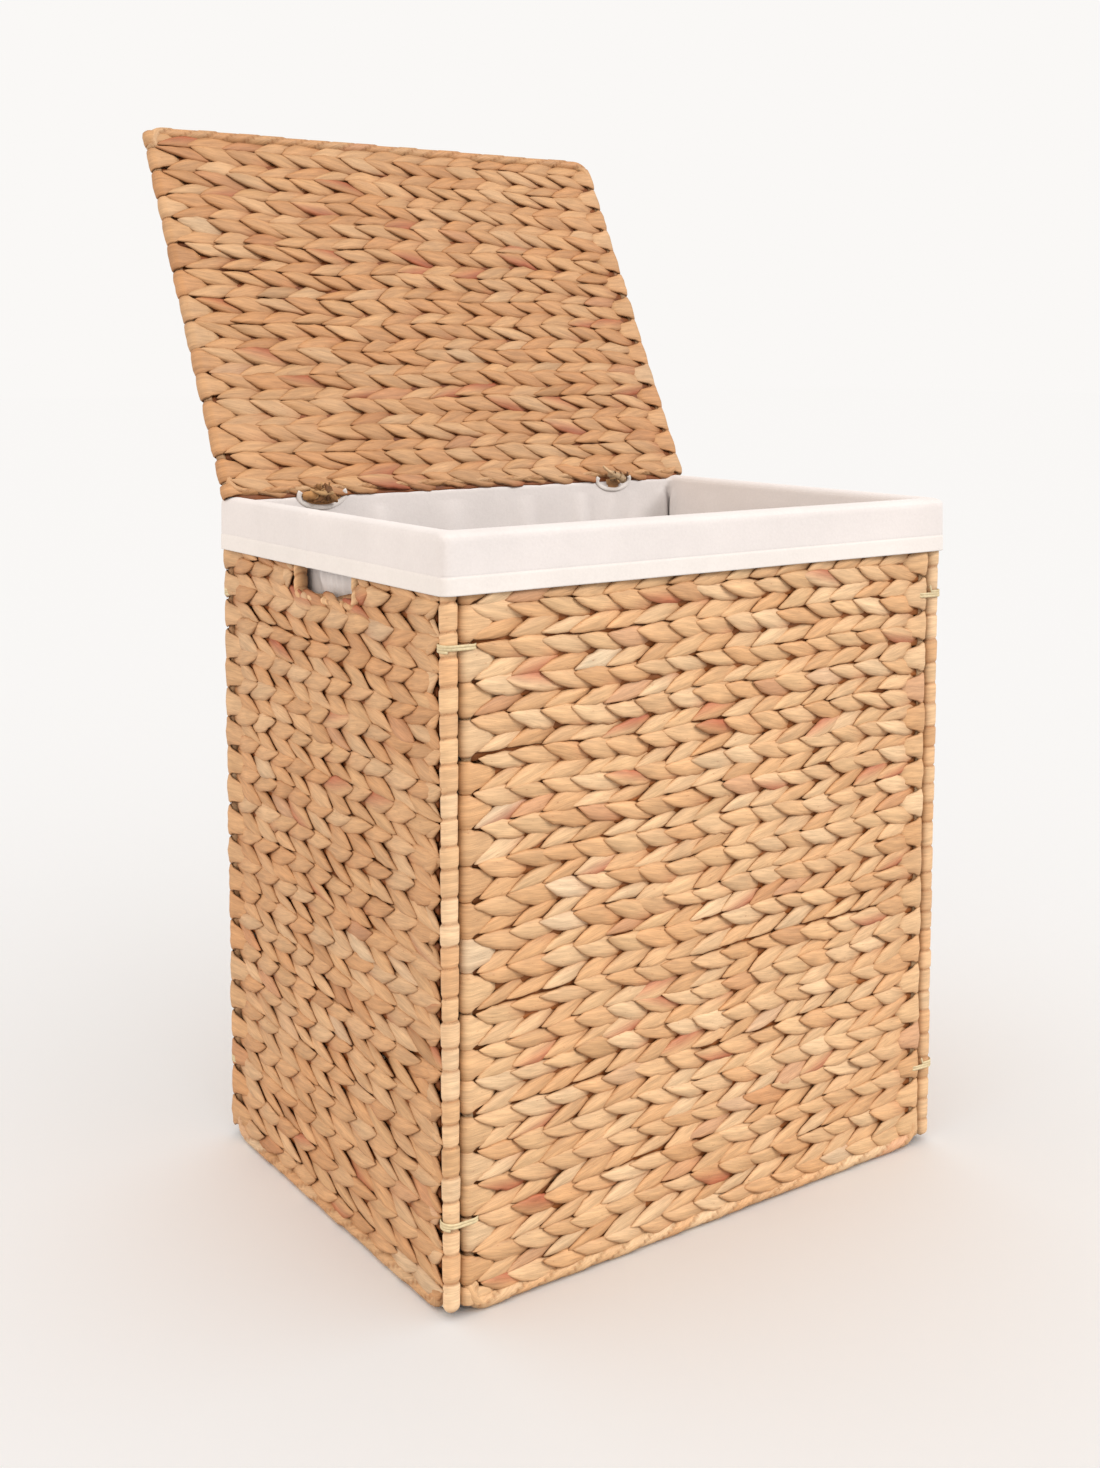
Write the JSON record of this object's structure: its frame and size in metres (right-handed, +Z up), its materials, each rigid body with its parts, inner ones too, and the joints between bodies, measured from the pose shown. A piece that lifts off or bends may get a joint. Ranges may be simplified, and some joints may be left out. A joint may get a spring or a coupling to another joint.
{
  "type": "woven laundry basket",
  "caption": "Foldable rectangular laundry hamper woven from flat plant fibre on wire frames, with a tied lid standing open, hand holes and a cotton liner folded over the rim.",
  "frame": {"origin": "middle of the underside of the base panel, on the floor", "axes": "+Z up, the front wall faces -Y, +X to the right seen from the front"},
  "size_m": [0.536, 0.5637, 0.9557],
  "materials": {
    "water_hyacinth": "dry flat plant strands, light honey brown with darker and reddish streaks",
    "edge_wrapping": "smooth flat strand wound tight over a rod",
    "frame_wire": "pale galvanised welded wire",
    "cane_tie": "split cane, slightly glossy",
    "hinge_cord": "twisted plant-fibre cord",
    "liner_cotton": "plain-weave unbleached cotton, lightly creased"
  },
  "bodies": {
    "root": {"front_frame": "frame_wire", "front_weave": "water_hyacinth", "back_frame": "frame_wire", "back_weave": "water_hyacinth", "left_frame": "frame_wire", "left_weave": "water_hyacinth", "right_frame": "frame_wire", "right_weave": "water_hyacinth", "left_handle_wrap": "edge_wrapping", "left_front_edge_wrap": "edge_wrapping", "left_back_edge_wrap": "edge_wrapping", "right_handle_wrap": "edge_wrapping", "right_front_edge_wrap": "edge_wrapping", "right_back_edge_wrap": "edge_wrapping", "front_left_tie_upper": "cane_tie", "front_left_tie_lower": "cane_tie", "front_right_tie_upper": "cane_tie", "front_right_tie_lower": "cane_tie", "back_left_tie_upper": "cane_tie", "back_left_tie_lower": "cane_tie", "back_right_tie_upper": "cane_tie", "back_right_tie_lower": "cane_tie", "lid_tie_left": "hinge_cord", "lid_tie_right": "hinge_cord", "base_tie_left": "hinge_cord", "base_tie_middle": "hinge_cord", "base_tie_right": "hinge_cord", "liner_bag": "liner_cotton", "liner_cuff": "liner_cotton"},
    "lid": {"lid_frame": "frame_wire", "lid_weave": "water_hyacinth"},
    "base_flap": {"base_frame": "frame_wire", "base_weave": "water_hyacinth"}
  },
  "joints": [
    {"name": "lid_hinge", "type": "hinge", "parent": "root", "child": "lid", "pos_m": [0, 0.187, 0.6115], "axis": [1, 0, 0], "range_deg": [-63, 117]},
    {"name": "base_hinge", "type": "hinge", "parent": "root", "child": "base_flap", "pos_m": [0, 0.1725, 0.006], "axis": [-1, 0, 0], "range_deg": [0, 90], "deforming": ["liner_bag"]}
  ]
}
